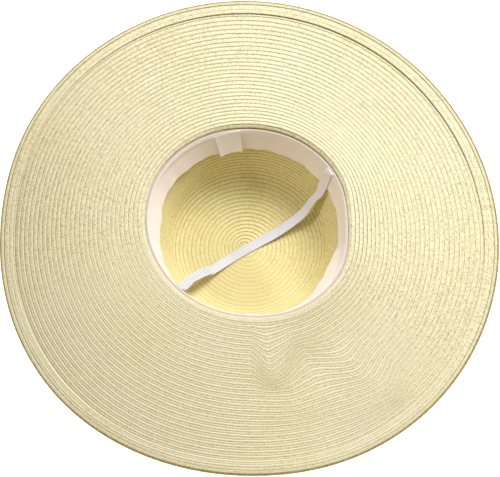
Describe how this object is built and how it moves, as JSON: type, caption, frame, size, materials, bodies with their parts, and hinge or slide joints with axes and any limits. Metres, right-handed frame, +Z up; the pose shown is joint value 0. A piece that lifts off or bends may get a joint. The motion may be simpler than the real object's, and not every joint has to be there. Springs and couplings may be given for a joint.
{
  "type": "floppy hat",
  "caption": "Wide-brimmed floppy hat of sewn straw braid with an inner sweatband, a bare label and a chin strap with an elastic end.",
  "frame": {"origin": "the middle of the crown tip's flat outer face, on the surface that the hat lies on", "axes": "+Z up out of the head opening, the hat lying on its crown; +Y towards the back of the hat, where the label is; +X to the right as seen from above"},
  "size_m": [0.4465, 0.4567, 0.0704],
  "materials": {
    "straw": "pale natural paper-straw braid, about 4.4 mm a row, sewn in a spiral with each row lapped on the last",
    "band_cloth": "plain matte woven band, pinkish white",
    "label_cloth": "smooth woven label cloth, bare",
    "ribbon": "fine white ribbon with a slight sheen",
    "elastic": "white knitted elastic, ribbed lengthwise"
  },
  "bodies": {
    "root": {"crown": "straw", "brim": "straw", "edge_hem": "straw", "sweatband": "band_cloth", "label": "label_cloth", "chin_strap": "ribbon", "strap_elastic": "elastic"}
  },
  "joints": []
}
